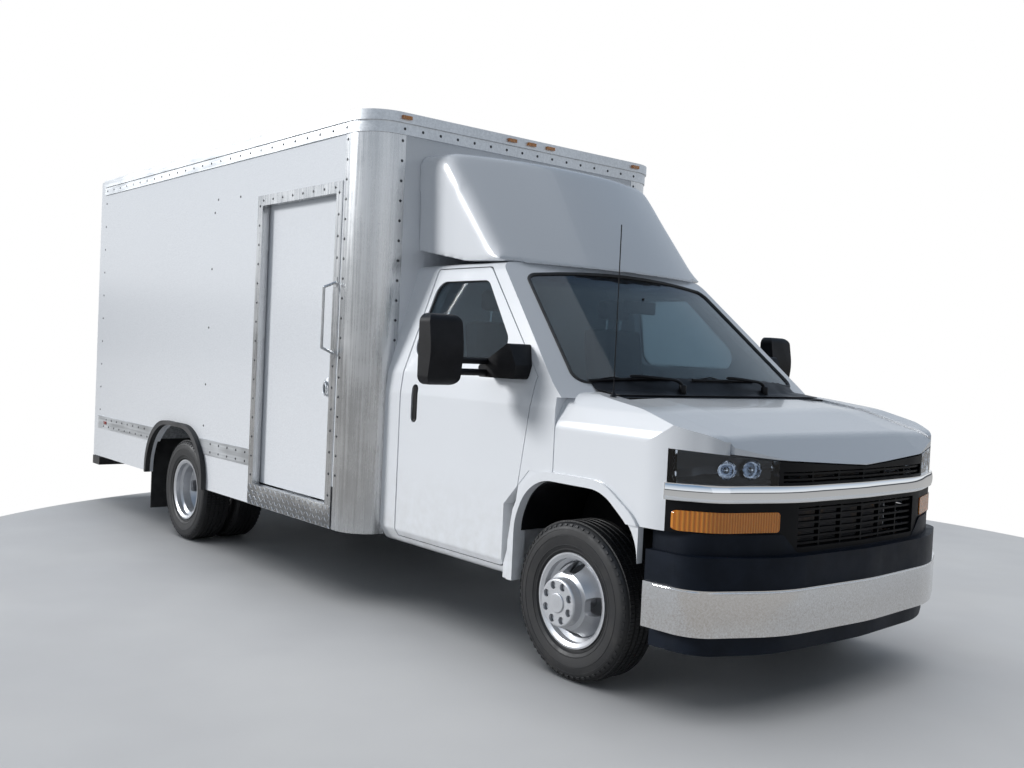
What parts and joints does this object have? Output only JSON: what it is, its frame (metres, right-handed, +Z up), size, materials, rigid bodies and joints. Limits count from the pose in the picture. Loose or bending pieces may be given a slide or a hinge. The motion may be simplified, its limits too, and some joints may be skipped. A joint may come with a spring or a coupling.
{
  "type": "box truck",
  "caption": "Cab-chassis box truck with a hollow cargo body, a sliding side door, opening cab doors and hood, steered front wheels and twin rear wheels.",
  "frame": {"origin": "on the ground under the middle of the whole truck", "axes": "+X forward, +Y to the truck's left, +Z up"},
  "size_m": [7.2272, 2.866, 2.86],
  "materials": {
    "cab_paint": "glossy white",
    "box_paint": "satin white panel",
    "aluminium": "bare, lightly brushed",
    "galvanised": "dull zinc",
    "chrome": "bright",
    "black_plastic": "grained",
    "chassis_black": "satin",
    "engine_metal": "cast",
    "wheel_silver": "silver paint",
    "tyre": "worn black",
    "rubber": "moulded",
    "window_glass": "tinted",
    "lamp_lens": "clear",
    "amber_lens": "ribbed",
    "red_lens": "ribbed",
    "cabin_plastic": "grained",
    "seat_cloth": "woven"
  },
  "bodies": {
    "chassis": {"frame_rails": "chassis_black", "suspension": "chassis_black", "rear_axle": "engine_metal", "powertrain": "engine_metal", "radiator": "engine_metal", "fuel_tank": "chassis_black", "exhaust": "galvanised", "cab_shell": "cab_paint", "windshield": "window_glass", "fenders": "cab_paint", "wheel_liners": "black_plastic", "headlamps": "lamp_lens", "amber_lamps": "amber_lens", "grille": "black_plastic", "chrome_trim": "chrome", "bumper_plastic": "black_plastic", "cowl_panel": "black_plastic", "antenna": "black_plastic", "dashboard": "cabin_plastic", "seats": "seat_cloth", "cab_fairing": "cab_paint", "box_floor": "galvanised", "box_wall_right": "box_paint", "box_wall_left": "box_paint", "box_front_wall": "box_paint", "box_roof": "box_paint", "corner_posts": "aluminium", "body_rails": "aluminium", "box_skirts": "box_paint", "rear_frame": "box_paint", "rear_door": "box_paint", "side_door_frame": "aluminium", "arch_rubber": "rubber", "rear_bumper": "chassis_black", "tail_lamps": "red_lens"},
    "cab_door_left": {"door_left": "cab_paint", "door_glass_left": "window_glass", "mirror_left": "black_plastic"},
    "knuckle_left": {"knuckle_left": "engine_metal"},
    "wheel_front_left": {"rim_front_left": "wheel_silver", "tyre_front_left": "tyre"},
    "wheel_rear_left": {"rims_rear_left": "wheel_silver", "tyres_rear_left": "tyre"},
    "cab_door_right": {"door_right": "cab_paint", "door_glass_right": "window_glass", "mirror_right": "black_plastic"},
    "knuckle_right": {"knuckle_right": "engine_metal"},
    "wheel_front_right": {"rim_front_right": "wheel_silver", "tyre_front_right": "tyre"},
    "wheel_rear_right": {"rims_rear_right": "wheel_silver", "tyres_rear_right": "tyre"},
    "hood_lid": {"hood": "cab_paint"},
    "cargo_door": {"side_door": "box_paint"},
    "steering": {"steering_wheel": "cabin_plastic"}
  },
  "joints": [
    {"name": "steer_left", "type": "hinge", "parent": "chassis", "child": "knuckle_left", "pos_m": [2.665, 0.768, 0.372], "axis": [0, 0, 1], "range_deg": [-30, 30]},
    {"name": "front_wheel_left", "type": "hinge", "parent": "knuckle_left", "child": "wheel_front_left", "pos_m": [2.665, 0.874, 0.372], "axis": [0, 1, 0], "continuous": true},
    {"name": "rear_wheels_left", "type": "hinge", "parent": "chassis", "child": "wheel_rear_left", "pos_m": [-1.374, 0.934, 0.372], "axis": [0, 1, 0], "continuous": true},
    {"name": "cab_door_swing_left", "type": "hinge", "parent": "chassis", "child": "cab_door_left", "pos_m": [2.378, 1.006, 1.2], "axis": [0, 0, -1], "range_deg": [0, 68]},
    {"name": "steer_right", "type": "hinge", "parent": "chassis", "child": "knuckle_right", "pos_m": [2.665, -0.768, 0.372], "axis": [0, 0, 1], "range_deg": [-30, 30]},
    {"name": "front_wheel_right", "type": "hinge", "parent": "knuckle_right", "child": "wheel_front_right", "pos_m": [2.665, -0.874, 0.372], "axis": [0, 1, 0], "continuous": true},
    {"name": "rear_wheels_right", "type": "hinge", "parent": "chassis", "child": "wheel_rear_right", "pos_m": [-1.374, -0.934, 0.372], "axis": [0, 1, 0], "continuous": true},
    {"name": "cab_door_swing_right", "type": "hinge", "parent": "chassis", "child": "cab_door_right", "pos_m": [2.378, -1.006, 1.2], "axis": [0, 0, 1], "range_deg": [0, 68]},
    {"name": "hood_lift", "type": "hinge", "parent": "chassis", "child": "hood_lid", "pos_m": [2.777, 0, 1.322], "axis": [0, -1, 0], "range_deg": [0, 48]},
    {"name": "cargo_door_slide", "type": "slide", "parent": "chassis", "child": "cargo_door", "axis": [-1, 0, 0], "range_m": [0, 0.72]},
    {"name": "steering_turn", "type": "hinge", "parent": "chassis", "child": "steering", "pos_m": [2.105, 0.45, 1.245], "axis": [-0.848, 0, 0.5299], "range_deg": [-430, 430]}
  ],
  "couplings": [
    {"joint": "steer_right", "follows": "steer_left", "ratio": 1},
    {"joint": "steering_turn", "follows": "steer_left", "ratio": 14}
  ]
}
